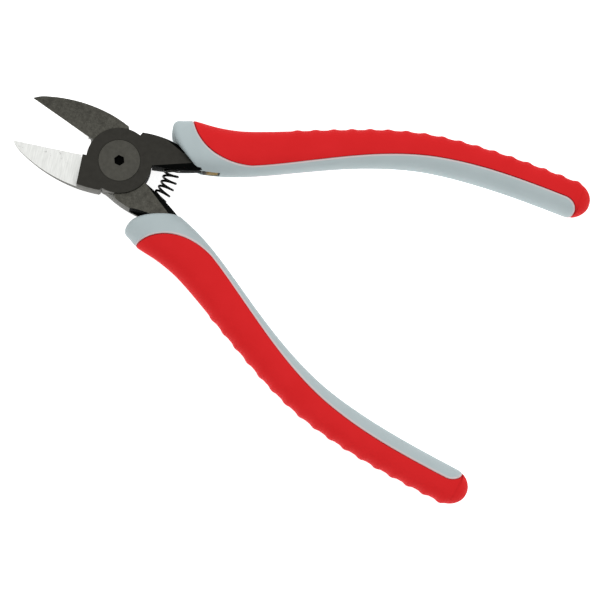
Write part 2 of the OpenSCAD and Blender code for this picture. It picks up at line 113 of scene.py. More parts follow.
def empty_material(name):
    """A node material with nothing in it yet, its tree, and the place on the piece in metres."""
    material = bpy.data.materials.new(name)
    material.use_nodes = True
    material.node_tree.nodes.clear()
    return material, material.node_tree, add(material.node_tree, "TexCoord").outputs["Object"]


def to_row(points, side):
    """Points of a half as drawn closed, in mm, to their place in the shared frame, in metres."""
    x, y, z = np.moveaxis(np.asarray(points, float), -1, 0)
    turn = 1 if side == "upper" else -1
    c, s = math.cos(rest_turn), math.sin(rest_turn)
    return np.stack([c * x - s * y, turn * (s * x + c * y), lap_height + turn * z], -1) * mm


def to_own(point, side):
    """A point of the shared frame, in metres, as its half is drawn closed, in mm."""
    turn = 1 if side == "upper" else -1
    c, s = math.cos(rest_turn), math.sin(rest_turn)
    x, y, z = point[0] / mm, turn * point[1] / mm, turn * (point[2] / mm - lap_height)
    return c * x + s * y, c * y - s * x, z


def broken_edges(node, name, width, soft_from=20.0):
    """A copy of a machined CAD node with its flat faces joined up and its edges broken as in deburring."""
    bm = bmesh.new()
    bm.from_mesh(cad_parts[node].data)
    bmesh.ops.remove_doubles(bm, verts=bm.verts, dist=2e-7)
    bmesh.ops.dissolve_limit(bm, angle_limit=math.radians(0.2), verts=bm.verts, edges=bm.edges)
    weight = bm.edges.layers.float.new("bevel_weight_edge")
    for edge in bm.edges:
        edge[weight] = 1.0 if edge.calc_face_angle(0.0) > math.radians(soft_from) else 0.0
        edge.smooth = True
    for face in bm.faces:
        face.smooth = True
    mesh = bpy.data.meshes.new(name)
    bm.to_mesh(mesh)
    bm.free()
    piece = bpy.data.objects.new(name, mesh)
    bpy.context.scene.collection.objects.link(piece)
    bevel = piece.modifiers.new("broken_edges", "BEVEL")
    bevel.limit_method = "WEIGHT"
    bevel.width = width * mm
    bevel.segments = 3
    bevel.harden_normals = True
    piece.modifiers.new("joined_points", "WELD").merge_threshold = 1e-7
    return piece


# Black oxide on ground steel: a dark warm grey with a faint cloudiness and a low satin gloss.
ground_black, tree, place = empty_material("black_oxide_on_ground_steel")
cloud = add(tree, "TexNoise", {"Vector": place, "Scale": 1 / (1.6 * mm), "Detail": 5.0, "Roughness": 0.65})
shade = add(tree, "Mix", {0: cloud.outputs[0], 6: linear("#2A2926"), 7: linear("#3A3935")}, data_type="RGBA")
grit = add(tree, "TexNoise", {"Vector": place, "Scale": 1 / (0.22 * mm), "Detail": 3.0})
gloss = add(tree, "MapRange", {"Value": grit.outputs[0], "To Min": 0.36, "To Max": 0.52})
tooth = add(tree, "Bump", {"Height": grit.outputs[0], "Strength": 0.3, "Distance": 0.012 * mm})
steel = add(tree, "BsdfPrincipled", {"Base Color": shade.outputs[2], "Metallic": 1.0,
                                     "Roughness": gloss.outputs[0], "Normal": tooth.outputs[0]})
add(tree, "OutputMaterial", {"Surface": steel.outputs[0]})

# Black oxide on blasted steel: the same salts on a rougher skin, so lighter, greener and flatter.
blasted_black, tree, place = empty_material("black_oxide_on_blasted_steel")
cloud = add(tree, "TexNoise", {"Vector": place, "Scale": 1 / (1.0 * mm), "Detail": 4.0, "Roughness": 0.6})
# blast grit is near 0.1 mm; drawn at 0.35 mm so that it still shows at this size
grit = add(tree, "TexNoise", {"Vector": place, "Scale": 1 / (0.35 * mm), "Detail": 4.0, "Roughness": 0.6})
mottle = add(tree, "Math", {0: cloud.outputs[0], 1: grit.outputs[0]}, operation="MULTIPLY")
speck = add(tree, "MapRange", {"Value": mottle.outputs[0], "From Min": 0.12, "From Max": 0.4})
shade = add(tree, "Mix", {0: speck.outputs[0], 6: linear("#403F3A"), 7: linear("#5C5B54")}, data_type="RGBA")
gloss = add(tree, "MapRange", {"Value": grit.outputs[0], "To Min": 0.42, "To Max": 0.6})
tooth = add(tree, "Bump", {"Height": grit.outputs[0], "Strength": 0.4, "Distance": 0.015 * mm})
steel = add(tree, "BsdfPrincipled", {"Base Color": shade.outputs[2], "Metallic": 1.0,
                                     "Roughness": gloss.outputs[0], "Normal": tooth.outputs[0]})
add(tree, "OutputMaterial", {"Surface": steel.outputs[0]})

# Painted shade on the bevels, the inner sides and in the hollows: a dull soot black without sheen, which
# stands in for the shade these faces lie in.
painted_shade_black, tree, place = empty_material("painted_shade_soot")
cloud = add(tree, "TexNoise", {"Vector": place, "Scale": 1 / (1.4 * mm), "Detail": 4.0})
shade = add(tree, "Mix", {0: cloud.outputs[0], 6: linear("#060707"), 7: linear("#0E0F0E")}, data_type="RGBA")
gloss = add(tree, "MapRange", {"Value": cloud.outputs[0], "To Min": 0.5, "To Max": 0.65})
shade_bsdf = add(tree, "BsdfPrincipled", {"Base Color": shade.outputs[2], "Roughness": gloss.outputs[0],
                                     "IOR": 1.6, "Specular IOR Level": 0.01})
add(tree, "OutputMaterial", {"Surface": shade_bsdf.outputs[0]})

# Bare steel on the lap faces, an even dull grey, made lighter than the blackened faces as painted light, so
# that the stop pad's top shows light grey though it lies in shade.
lap_steel_painted_light, tree, place = empty_material("lap_steel_painted_light")
lap_blotch = add(tree, "TexNoise", {"Vector": place, "Scale": 1 / (0.7 * mm), "Detail": 3.0})
shade = add(tree, "Mix", {0: lap_blotch.outputs[0], 6: linear("#B0B0AB"), 7: linear("#CCCCC7")}, data_type="RGBA")
steel = add(tree, "BsdfPrincipled", {"Base Color": shade.outputs[2], "Metallic": 1.0, "Roughness": 0.7})
add(tree, "OutputMaterial", {"Surface": steel.outputs[0]})

# Honed steel under the cutting edge: the brightest metal on the tool, almost a mirror.
honed_steel, tree, place = empty_material("honed_steel")
wave = add(tree, "TexNoise", {"Vector": place, "Scale": 1 / (0.8 * mm), "Detail": 2.0})
gloss = add(tree, "MapRange", {"Value": wave.outputs[0], "To Min": 0.14, "To Max": 0.24})
steel = add(tree, "BsdfPrincipled", {"Base Color": linear("#F8F8F6"), "Metallic": 1.0,
                                     "Roughness": gloss.outputs[0]})
add(tree, "OutputMaterial", {"Surface": steel.outputs[0]})

for node, body, side in (("front_half", "front", "upper"), ("rear_half", "rear", "lower")):
    turn = 1 if side == "upper" else -1
    # Bare ground steel: near-white satin metal, with fine marks across the blade 0.1 mm apart and
    # bands of them 0.4 mm apart.
    bare_steel, tree, place = empty_material("ground_steel_" + node)
    across = add(tree, "Mapping", {"Vector": place, "Rotation": (0.0, 0.0, -turn * rest_turn)})
    streak = add(tree, "Mapping", {"Vector": across.outputs[0],
                                   "Scale": (1 / (0.1 * mm), 1 / (5 * mm), 1 / (5 * mm))})
    marks = add(tree, "TexNoise", {"Vector": streak.outputs[0], "Scale": 1.0, "Detail": 3.0})
    broad = add(tree, "Mapping", {"Vector": across.outputs[0],
                                  "Scale": (1 / (0.4 * mm), 1 / (3 * mm), 1 / (3 * mm))})
    bands = add(tree, "TexNoise", {"Vector": broad.outputs[0], "Scale": 1.0, "Detail": 2.0})
    mixed = add(tree, "Math", {0: marks.outputs[0], 1: bands.outputs[0]}, operation="MULTIPLY")
    tone = add(tree, "MapRange", {"Value": mixed.outputs[0], "From Min": 0.12, "From Max": 0.4})
    shade = add(tree, "Mix", {0: tone.outputs[0], 6: linear("#CACBC8"), 7: linear("#DDDEDB")},
                data_type="RGBA")
    # small nicks and rub marks lie within 3.4 mm of the edge
    spot = add(tree, "SeparateXYZ", {0: across.outputs[0]})
    near = add(tree, "MapRange", {"Value": spot.outputs[1], "From Min": -turn * 3.4 * mm,
                                  "From Max": -turn * 0.9 * mm})
    nick = add(tree, "TexNoise", {"Vector": across.outputs[0], "Scale": 1 / (0.9 * mm), "Detail": 3.0,
                                  "Roughness": 0.7})
    deep = add(tree, "MapRange", {"Value": nick.outputs[0], "From Min": 0.62, "From Max": 0.7})
    worn = add(tree, "Math", {0: near.outputs[0], 1: deep.outputs[0]}, operation="MULTIPLY")
    shade = add(tree, "Mix", {0: worn.outputs[0], 6: shade.outputs[2], 7: linear("#A3A3A0")},
                data_type="RGBA")
    gloss = add(tree, "MapRange", {"Value": marks.outputs[0], "To Min": 0.26, "To Max": 0.42})
    scratch = add(tree, "Bump", {"Height": marks.outputs[0], "Strength": 0.25, "Distance": 0.006 * mm})
    steel = add(tree, "BsdfPrincipled", {"Base Color": shade.outputs[2], "Metallic": 1.0,
                                         "Roughness": gloss.outputs[0], "Normal": scratch.outputs[0]})
    add(tree, "OutputMaterial", {"Surface": steel.outputs[0]})

    half = broken_edges(node, node + "_forging", edge_break)
    finishes = (ground_black, blasted_black, bare_steel, painted_shade_black, honed_steel, lap_steel_painted_light)
    for material in finishes:
        half.data.materials.append(material)
    for face in half.data.polygons:
        x, y, z = to_own(face.center, side)
        up = turn * face.normal.z
        edge_wall = x < -edge_start and y > edge_y and abs(up) < 0.2
        bevel = x > boss_r and 0.6 < abs(up) < 0.8
        by_scoop = scoop_x[0] < x < scoop_x[1] and y > scoop_y
        inside_arc = math.hypot(x - outer_arc[0], y - outer_arc[1]) < outer_arc[2] - 0.15
        hollow = by_scoop and (abs(up) < 0.1 and inside_arc or abs(z - scoop_floor) < slack)
        inner_wall = x > inner_x and y < inner_y and abs(up) < 0.1
        if up > 0.999 and z > lap_height - slack:
            finish = ground_black
        elif up > 0.999 and x < -blade_start and z > -2 * slack:
            finish = bare_steel
        elif edge_wall:
            finish = honed_steel
        # the lap faces take the light grey painted light
        elif up < -0.9 and abs(z) < 2 * slack:
            finish = lap_steel_painted_light
        # the bevels, the scoop's hollow and the inner walls take the near-black painted shade
        elif bevel or hollow or inner_wall:
            finish = painted_shade_black
        else:
            finish = blasted_black
        face.material_index = finishes.index(finish)
    # the round seats close to a hairline, but not at the two walls that stop the opening
    for vertex in half.data.vertices:
        x, y, z = to_own(vertex.co, side)
        radius = math.hypot(x, y)
        stop_wall = abs(x + jaw_rear) < slack or stop_x[0] < x < stop_x[1] and y > stop_y
        for wide, close in seats:
            if abs(radius - wide) < 0.03 and not stop_wall:
                vertex.co.xy *= close / radius
    # the front scoop is dressed a little wider on the face
    for vertex in half.data.vertices:
        for start, dressed in scoop_ends:
            if math.dist(to_own(vertex.co, side), start) < 2 * slack:
                vertex.co = to_row(dressed, side)
    # the cutting edge itself stays keen, and the edges round the bosses are only stoned
    weights = half.data.attributes["bevel_weight_edge"].data
    own = [to_own(v.co, side) for v in half.data.vertices]
    for edge in half.data.edges:
        (xa, ya, za), (xb, yb, zb) = (own[i] for i in edge.vertices)
        keen = max(xa, xb) < -edge_start and min(ya, yb) > -0.02 and min(za, zb) > -0.2
        if keen or max(xa, xb) < -tip_start:
            weights[edge.index].value = keen_share
        elif max(math.hypot(xa, ya), math.hypot(xb, yb)) < boss_r + 0.2:
            weights[edge.index].value *= stoned_share
    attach(half, body)
    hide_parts(node)

# Pivot screw: a turned shoulder screw with a large flat head flush with the front boss and a small
# hexagon socket, screwed tight into the rear half and blackened.
screw_edge = 0.05  # width of its broken edges
socket_r = 1.5
socket_z = (4.0, 7.9)

# Black oxide on turned steel: dark grey, cloudy, with the faint rings of the facing cut.
screw_black, tree, place = empty_material("black_oxide_on_turned_steel")
# feed marks, drawn 0.3 mm apart so that they show; a wave repeats every 0.314 units
rings = add(tree, "TexWave", {"Vector": place, "Scale": 0.31416 / (0.3 * mm), "Distortion": 0.6,
                              "Detail": 2.0}, wave_type="RINGS", rings_direction="Z")
cloud = add(tree, "TexNoise", {"Vector": place, "Scale": 1 / (1.3 * mm), "Detail": 5.0, "Roughness": 0.65})
shade = add(tree, "Mix", {0: cloud.outputs[0], 6: linear("#3B3A36"), 7: linear("#55544E")}, data_type="RGBA")
gloss = add(tree, "MapRange", {"Value": rings.outputs[1], "To Min": 0.36, "To Max": 0.5})
tooth = add(tree, "Bump", {"Height": rings.outputs[1], "Strength": 0.2, "Distance": 0.01 * mm})
steel = add(tree, "BsdfPrincipled", {"Base Color": shade.outputs[2], "Metallic": 1.0,
                                     "Roughness": gloss.outputs[0], "Normal": tooth.outputs[0]})
add(tree, "OutputMaterial", {"Surface": steel.outputs[0]})

# Painted shade in the socket: its walls and floor are coloured black and dull for the shade deep in the
# hole.
socket_painted_shade, tree, place = empty_material("painted_socket_shade")
cloud = add(tree, "TexNoise", {"Vector": place, "Scale": 1 / (0.6 * mm), "Detail": 3.0})
shade = add(tree, "Mix", {0: cloud.outputs[0], 6: linear("#080807"), 7: linear("#10100F")}, data_type="RGBA")
socket_shade_bsdf = add(tree, "BsdfPrincipled", {"Base Color": shade.outputs[2], "Roughness": 0.6, "IOR": 1.47,
                                   "Specular IOR Level": 0.05})
add(tree, "OutputMaterial", {"Surface": socket_shade_bsdf.outputs[0]})

screw = broken_edges("pivot_screw", "pivot_screw_turned", screw_edge)
screw.data.materials.append(screw_black)
screw.data.materials.append(socket_painted_shade)
# faces inside the socket take the black painted shade
for face in screw.data.polygons:
    inside = math.hypot(face.center.x, face.center.y) < socket_r * mm
    face.material_index = 1 if inside and socket_z[0] * mm < face.center.z < socket_z[1] * mm else 0
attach(screw, "rear")
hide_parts("pivot_screw")

# Return spring: 0.66 mm music wire wound to a short coil, its ends held in blind holes in the tangs.
# It bows on an arc about the pivot, built as it stands at rest; in use it closes up as the handles are
# pressed.
spring_r = 14.25  # radius of its arc
coil_r = 1.9
wire_d = 0.66
coil_turns = 7.7
coil_start = -math.pi
pocket_reach = 4.35  # into each hole
end_pitch = 1.5  # the winding stops this many wire widths short of each end
wire_sides = 12
wire_steps = 48  # in each turn


def coil_axis(along):
    """Place and outward direction on the spring's axis, curved about the pivot and straight in the holes."""
    reach = spring_r * rest_turn
    bent = np.clip(along, -reach, reach)
    angle = bent / spring_r
    out = np.stack([np.cos(angle), np.sin(angle), 0 * angle], -1)
    ahead = np.stack([-np.sin(angle), np.cos(angle), 0 * angle], -1)
    return spring_r * out + (along - bent)[:, None] * ahead, out


def ring_faces(rings, count):
    """Faces between rings of points that follow each other in one list."""
    faces = []
    for here in range(0, (rings - 1) * count, count):
        there = here + count
        for i in range(count):
            after = (i + 1) % count
            faces.append((here + i, here + after, there + after, there + i))
    return faces


def tube(path, radius, sides):
    """Points and faces of a closed round tube along a path."""
    ahead = np.gradient(path, axis=0)
    ahead /= np.linalg.norm(ahead, axis=1)[:, None]
    first = np.cross(ahead, [0.0, 0.0, 1.0])
    first /= np.linalg.norm(first, axis=1)[:, None]
    second = np.cross(ahead, first)
    turn = np.linspace(0, 2 * math.pi, sides, endpoint=False)
    spokes = np.cos(turn)[:, None] * first[:, None] + np.sin(turn)[:, None] * second[:, None]
    points = path[:, None] + radius * spokes
    last = (len(path) - 1) * sides
    ends = [tuple(range(sides))[::-1], tuple(range(last, last + sides))]
    return points.reshape(-1, 3), ring_faces(len(path), sides) + ends


def mesh_piece(name, points, faces, sharp=None):
    """A new smooth piece from points in metres; edges sharper than the given angle stay crisp."""
    mesh = bpy.data.meshes.new(name)
    mesh.from_pydata([tuple(p) for p in points], [], faces)
    bm = bmesh.new()
    bm.from_mesh(mesh)
    bmesh.ops.remove_doubles(bm, verts=bm.verts, dist=1e-7)
    bmesh.ops.recalc_face_normals(bm, faces=bm.faces)
    bm.to_mesh(mesh)
    bm.free()
    mesh.shade_smooth()
    if sharp:
        mesh.set_sharp_from_angle(angle=math.radians(sharp))
    piece = bpy.data.objects.new(name, mesh)
    bpy.context.scene.collection.objects.link(piece)
    return piece


half_length = spring_r * rest_turn + pocket_reach
wound = half_length - end_pitch * wire_d
share = np.linspace(0, 1, int(coil_turns * wire_steps))
along = wound * (2 * share - 1)
turned = coil_start - 2 * math.pi * coil_turns * share
along = np.concatenate([[-half_length, -half_length + wire_d], along, [half_length - wire_d, half_length]])
turned = np.concatenate([turned[:1], turned[:1], turned, turned[-1:], turned[-1:]])
axis, out = coil_axis(along)
path = axis + coil_r * (np.cos(turned)[:, None] * out + np.sin(turned)[:, None] * [0.0, 0.0, 1.0])
points, faces = tube(path + [0.0, 0.0, lap_height], wire_d / 2, wire_sides)
spring = mesh_piece("return_spring_wire", points * mm, faces, sharp=50)

# Oiled music wire: almost black, smooth, with a thin bright line along each coil.
wire_black, tree, place = empty_material("oil_blackened_music_wire")
drawn = add(tree, "TexNoise", {"Vector": place, "Scale": 1 / (0.5 * mm), "Detail": 3.0})
shade = add(tree, "Mix", {0: drawn.outputs[0], 6: linear("#0E0E0E"), 7: linear("#1C1C1B")}, data_type="RGBA")
gloss = add(tree, "MapRange", {"Value": drawn.outputs[0], "To Min": 0.3, "To Max": 0.45})
steel = add(tree, "BsdfPrincipled", {"Base Color": shade.outputs[2], "Metallic": 1.0,
                                     "Roughness": gloss.outputs[0]})
add(tree, "OutputMaterial", {"Surface": steel.outputs[0]})
spring.data.materials.append(wire_black)
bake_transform(spring)
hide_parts("return_spring")

# Grip cores: the first shot of a two-shot moulding, a grey elastomer sleeve pushed on each tang and
# glued. It shows as the collar round the tang and as the long strip on the inner side of the handle.
line_knots = ((20.9, 8.08, 0.0), (47.0, 13.26, 0.28), (84.0, 20.18, 0.0), (122.0, 16.1, -0.17))
grip_end = 127.5
end_round = 5.4
mouth_x = 13.0
waist_x = 66.0
half_widths = (6.42, 5.1, 4.8)  # at the mouth, the waist and the end
half_thicks = (6.6, 6.1, 5.8)
section_power = 0.8  # a section between an ellipse, 1, and a box, 0
collar_x = 12.1  # front of the collar on the outer side
collar_lag = 8.6  # its inner side starts this much further back
collar_fade = 32.0  # its slant and the swell behind it have died away here
slant_power = 2.2
lip = 1.7  # radius of the collar's rolled lip
flare_high = 0.85
flare_fall = 1.2
cover_front = 17.2  # the red cover starts here on the outer side
sweep_end = 34.0  # and its front edge has swept round to the strip here
strip_shares = (-0.7, -0.21)  # height of the colour seam on the section, 1 outer and -1 inner side
settle = 105.0  # the second of these holds from here
strip_end = 123.9
strip_corner = 4.0
sweep_points = ((cover_front, 1.0), (18.2, 0.3), (25.5, -0.55), (sweep_end, strip_shares[0]))
collar_steps = 8
sweep_steps = 64
sweep_crowd = 1.35  # above 1, steps are shorter at the front of the sweep
ring_step = 0.45
corner_steps = 16
cover_thick = 1.6
cover_fit = 0.1
seam_round = 0.32  # radius of both edges at the colour seam
seam_rows = (0.5, 0.36, 0.24, 0.14, 0.06, 0.0)  # rows of points next to the seam, in mm from it
seam_gap = math.radians(1.0)  # the cover's edge stands back from the core's by this
# the pale pink line by the seam is a painted highlight
seam_highlight_most = 0.8  # share of the pale line's colour at the seam
seam_highlight_start = 0.2  # it fades from here, in mm from the seam
seam_highlight_width = 0.35
shown_rows = 28
hidden_rows = 10


def eased(t):
    """From 0 to 1 with a soft start and a soft end."""
    t = np.clip(t, 0.0, 1.0)
    return t * t * (3 - 2 * t)


def signed_power(v, power):
    """The power of a value's size, with its sign kept."""
    return np.sign(v) * np.abs(v) ** power


def line_y(x):
    """The handle's centre line: a smooth curve through its four knots of x, y and slope."""
    x = np.asarray(x, float)
    (x0, y0, m0), (x3, y3, m3) = line_knots[0], line_knots[-1]
    y = np.where(x < x0, y0 + m0 * (x - x0), y3 + m3 * (x - x3))
    for (xa, ya, ma), (xb, yb, mb) in zip(line_knots, line_knots[1:]):
        t = (x - xa) / (xb - xa)
        curve = ya * (1 + 2 * t) * (1 - t) ** 2 + yb * t * t * (3 - 2 * t) \
            + (xb - xa) * (ma * t * (1 - t) ** 2 - mb * t * t * (1 - t))
        y = np.where((x >= xa) & (x < xb), curve, y)
    return y


def half_size(sizes, x):
    """Half width or thickness: from the mouth's size to the waist's, then slowly to the end's."""
    return sizes[0] + (sizes[1] - sizes[0]) * eased((x - mouth_x) / (waist_x - mouth_x)) \
        + (sizes[2] - sizes[1]) * np.clip(x - waist_x, 0, None) / (grip_end - waist_x)


def flare(x):
    """The outer side swells to the front edge of the cover and falls away behind it."""
    start, crest = collar_x + 1, cover_front + 1
    rise = eased((x - start) / (crest - start))
    fall = np.clip((collar_fade - x) / (collar_fade - crest), 0, None) ** flare_fall
    return flare_high * np.where(x < crest, rise, fall)


def grip_skin(x, psi, inset=0.0, lift=0.0):
    """A place on the grip: psi 0 on the outer side, 180 degrees on the inner side."""
    across = signed_power(np.cos(psi), section_power)
    lift = lift + flare(x) * np.clip(across, 0, None)
    lean = (line_y(x + 0.1) - line_y(x - 0.1)) / 0.2
    size = np.sqrt(1 + lean ** 2)
    end = np.sqrt(np.clip(1 - np.clip((x - grip_end + end_round) / end_round, 0, None) ** 2, 0, None))
    reach = (half_size(half_widths, x) * end - inset + lift) * across
    height = (half_size(half_thicks, x) * end - inset) * signed_power(np.sin(psi), section_power)
    return np.stack([x - reach * lean / size, line_y(x) + reach / size, height], -1)


def slanted(x, psi):
    """The collar's mouth is cut aslant: its inner side lags behind its outer side."""
    across = signed_power(np.cos(psi), section_power)
    lag = collar_lag * (1 - eased((x - collar_x) / (collar_fade - collar_x)))
    return x + lag * ((1 - across) / 2) ** slant_power


def share_angle(q):
    """The angle psi at a height on the section, 1 on the outer and -1 on the inner side."""
    return np.arccos(np.clip(signed_power(q, 1 / section_power), -1, 1))


def strip_share(x):
    """Height of the colour seam on the section along the handle, with the strip's rounded end corner."""
    q = strip_shares[0] + (strip_shares[1] - strip_shares[0]) * eased((x - sweep_end) / (settle - sweep_end))
    t = np.clip((x - strip_end + strip_corner) / strip_corner, 0, 1)
    return -1 + (1 + q) * np.sqrt(1 - t * t)


t = (np.linspace(0.0, 1.0, sweep_steps) ** sweep_crowd)[:, None]
start, first_pull, last_pull, stop = np.array(sweep_points)
sweep = start * (1 - t) ** 3 + first_pull * 3 * t * (1 - t) ** 2 \
    + last_pull * 3 * t * t * (1 - t) + stop * t ** 3
long_x = np.arange(sweep_end + ring_step, strip_end - strip_corner - 0.1, ring_step)
corner_x = strip_end - strip_corner * (1 - np.sin(np.linspace(0, math.pi / 2, corner_steps)))
seam_x = np.concatenate([sweep[:, 0], long_x, corner_x])
seam_psi = share_angle(np.concatenate([sweep[:, 1], strip_share(long_x), strip_share(corner_x)]))
# six points to a step of the seam, so that distances from it come out smooth
fine = np.linspace(0, len(seam_x) - 1, 6 * len(seam_x))
fine_x = np.interp(fine, np.arange(len(seam_x)), seam_x)
fine_psi = np.interp(fine, np.arange(len(seam_x)), seam_psi)
seam_tree = KDTree(2 * len(fine))
for i, spot in enumerate(np.concatenate([grip_skin(fine_x, fine_psi), grip_skin(fine_x, -fine_psi)])):
    seam_tree.insert(Vector(spot), i)
seam_tree.balance()


def from_seam(points):
    """Distance in mm of each place on the grip, as drawn closed, from the colour seam."""
    flat = np.asarray(points).reshape(-1, 3)
    return np.array([seam_tree.find(Vector(p))[2] for p in flat]).reshape(np.shape(points)[:-1])


def rolled(distance, radius):
    """Depth below the skin of an edge that is rolled over with this radius."""
    near = np.clip(radius - distance, 0, radius)
    return radius - np.sqrt(radius ** 2 - near ** 2)


def along_section(x_of, start, stop, count):
    """Angles from start to stop, evenly spaced in mm but close together near stop, where the seam is."""
    psi = np.linspace(start, stop, 300)
    steps = np.linalg.norm(np.diff(grip_skin(x_of(psi), psi), axis=0), axis=1)
    run = np.concatenate([[0], np.cumsum(steps)])
    close = np.array(seam_rows) * min(1.0, run[-1])
    even = np.linspace(0, run[-1] - close[0], count - len(close) + 1)[:-1]
    return np.interp(np.concatenate([even, run[-1] - close]), run, psi)


def ring_cap(first, count):
    """Closes a ring that is the same above and below with strips between its two sides."""
    faces = [(first, first + 1, first + count - 1)]
    for i in range(1, count // 2 - 1):
        faces.append((first + i, first + i + 1, first + count - i - 1, first + count - i))
    faces.append((first + count // 2 - 1, first + count // 2, first + count // 2 + 1))
    return faces


def ring_start(x, psi):
    """The slanted ring that passes through a place on the seam, found by halving."""
    low, high = 10.0, 40.0
    for _ in range(40):
        middle = (low + high) / 2
        low, high = (low, middle) if slanted(middle, psi) > x else (middle, high)
    return middle


def on_ring(x, psi, inset):
    """Places on a slanted ring, rolled over next to the colour seam."""
    ring_x = slanted(x, psi)
    return grip_skin(ring_x, psi, inset + rolled(from_seam(grip_skin(ring_x, psi)), seam_round))


# rings of the core: x, seam angle, depth under the cover, inset of the lip
under_cover = cover_thick + cover_fit
first_angle = float(seam_psi[1])
collar_rows = list(np.linspace(collar_x + lip, cover_front - seam_rows[0], collar_steps)[1:])
collar_rows += [cover_front - d for d in seam_rows[1:]]
strip_rows = np.concatenate([long_x[::2], corner_x[:-1]])
core_rings = [(collar_x + lip * (1 - math.cos(a)), first_angle, 0.0, lip * (1 - math.sin(a)))
              for a in np.linspace(0, math.pi / 2, collar_steps)]
core_rings += [(x, first_angle, 0.0, 0.0) for x in collar_rows]
core_rings += [(ring_start(x, p), float(p), under_cover, 0.0)
               for x, p in zip(sweep[1:, 0], share_angle(sweep[1:, 1]))]
core_rings += [(float(x), float(p), under_cover, 0.0)
               for x, p in zip(strip_rows, share_angle(strip_share(strip_rows)))]
core_points = []
for x, seam_at, depth, inset in core_rings:
    shown = along_section(lambda a: slanted(x, a), math.pi, seam_at, shown_rows)
    hidden = np.linspace(seam_at - seam_gap * (depth > 0), 0, hidden_rows)
    covered = grip_skin(slanted(x, hidden), hidden, depth) if depth else on_ring(x, hidden, inset)
    top = np.concatenate([on_ring(x, shown, inset), covered])
    core_points.append(np.concatenate([top, (top * [1, 1, -1])[-2:0:-1]]))
core_count = len(core_points[0])
core_faces = ring_faces(len(core_rings), core_count) + ring_cap(0, core_count) \
    + ring_cap((len(core_rings) - 1) * core_count, core_count)

# room for the tang, for its thinner shank, and the open slot on the inner side where the glue shows;
# the shank's cut keeps a hair inside the tang's, so that no two walls coincide
hair = 0.02
tang_z = (-3.62, 4.12)
shank_z = 2.72
outer_side = [(outer_arc[0] + outer_arc[2] * math.cos(a), outer_arc[1] + outer_arc[2] * math.sin(a))
              for a in np.linspace(1.51, 1.282, 8)]
inner_bend = np.array([(22.0, 2.23), (15.2, 0.38), (8.6, 0.43)])
inner_side = [tuple(inner_bend[0] * (1 - t) ** 2 + inner_bend[1] * 2 * t * (1 - t) + inner_bend[2] * t * t)
              for t in np.linspace(0, 1, 10)]
tang_room = outer_side + [(16.8, 8.31), (22.12, 2.28)] + inner_side
shank_room = [(x, y - hair) for x, y in outer_side]
shank_room += [(19.0, 8.8), (25.0, 10.32), (32.37, 12.44), (69.61, 21.06), (70.63, 16.94), (33.63, 7.36)]
shank_room += [(x, y + hair) for x, y in inner_side]
slot_room = [(18.0, -2.0), (27.0, -2.0), (27.0, 6.0), (18.0, 3.0)]


def cut(piece, outline, low, high, side):
    """Cuts an upright prism out of a piece."""
    n = len(outline)
    points = [(x, y, z) for z in (low, high) for x, y in outline]
    faces = [tuple(range(n))[::-1], tuple(range(n, 2 * n))] + ring_faces(2, n)
    cutter = mesh_piece("cutter", to_row(points, side), faces)
    tool = piece.modifiers.new("cut", "BOOLEAN")
    tool.object = cutter
    tool.operation = "DIFFERENCE"
    tool.solver = "MANIFOLD"
    changed = bpy.data.meshes.new_from_object(piece.evaluated_get(bpy.context.evaluated_depsgraph_get()))
    piece.modifiers.clear()
    changed.materials.clear()
    changed.polygons.foreach_set("material_index", np.zeros(len(changed.polygons), np.int32))
    piece.data = changed
    bpy.data.objects.remove(cutter)


def mark(piece, name, values):
    """Gives each point of a piece a value that its material reads."""
    layer = piece.data.attributes.new(name, "FLOAT", "POINT")
    layer.data.foreach_set("value", np.asarray(values, np.float32))


# Grey thermoplastic elastomer: matt, soft-looking and slightly blue, with the fine tooth of an eroded mould.
# Next to the seam a pale pink line about half a millimetre wide is painted on, a painted highlight along the
# seam's rolled edge.
grey_rubber, tree, place = empty_material("grey_thermoplastic_elastomer")
cloud = add(tree, "TexNoise", {"Vector": place, "Scale": 1 / (6 * mm), "Detail": 3.0})
shade = add(tree, "Mix", {0: cloud.outputs[0], 6: linear("#B3C0C2"), 7: linear("#BDC9CB")}, data_type="RGBA")
seam_highlight = add(tree, "Attribute", attribute_name="seam")
pale = add(tree, "Mix", {0: seam_highlight.outputs["Fac"], 6: shade.outputs[2], 7: linear("#E6CFCF")},
           data_type="RGBA")
tooth = add(tree, "TexNoise", {"Vector": place, "Scale": 1 / (0.3 * mm), "Detail": 3.0})
gloss = add(tree, "MapRange", {"Value": tooth.outputs[0], "To Min": 0.5, "To Max": 0.66})
bump = add(tree, "Bump", {"Height": tooth.outputs[0], "Strength": 0.15, "Distance": 0.02 * mm})
rubber = add(tree, "BsdfPrincipled", {"Base Color": pale.outputs[2], "Roughness": gloss.outputs[0],
                                      "IOR": 1.48, "Specular IOR Level": 0.05,
                                      "Normal": bump.outputs[0]})
add(tree, "OutputMaterial", {"Surface": rubber.outputs[0]})

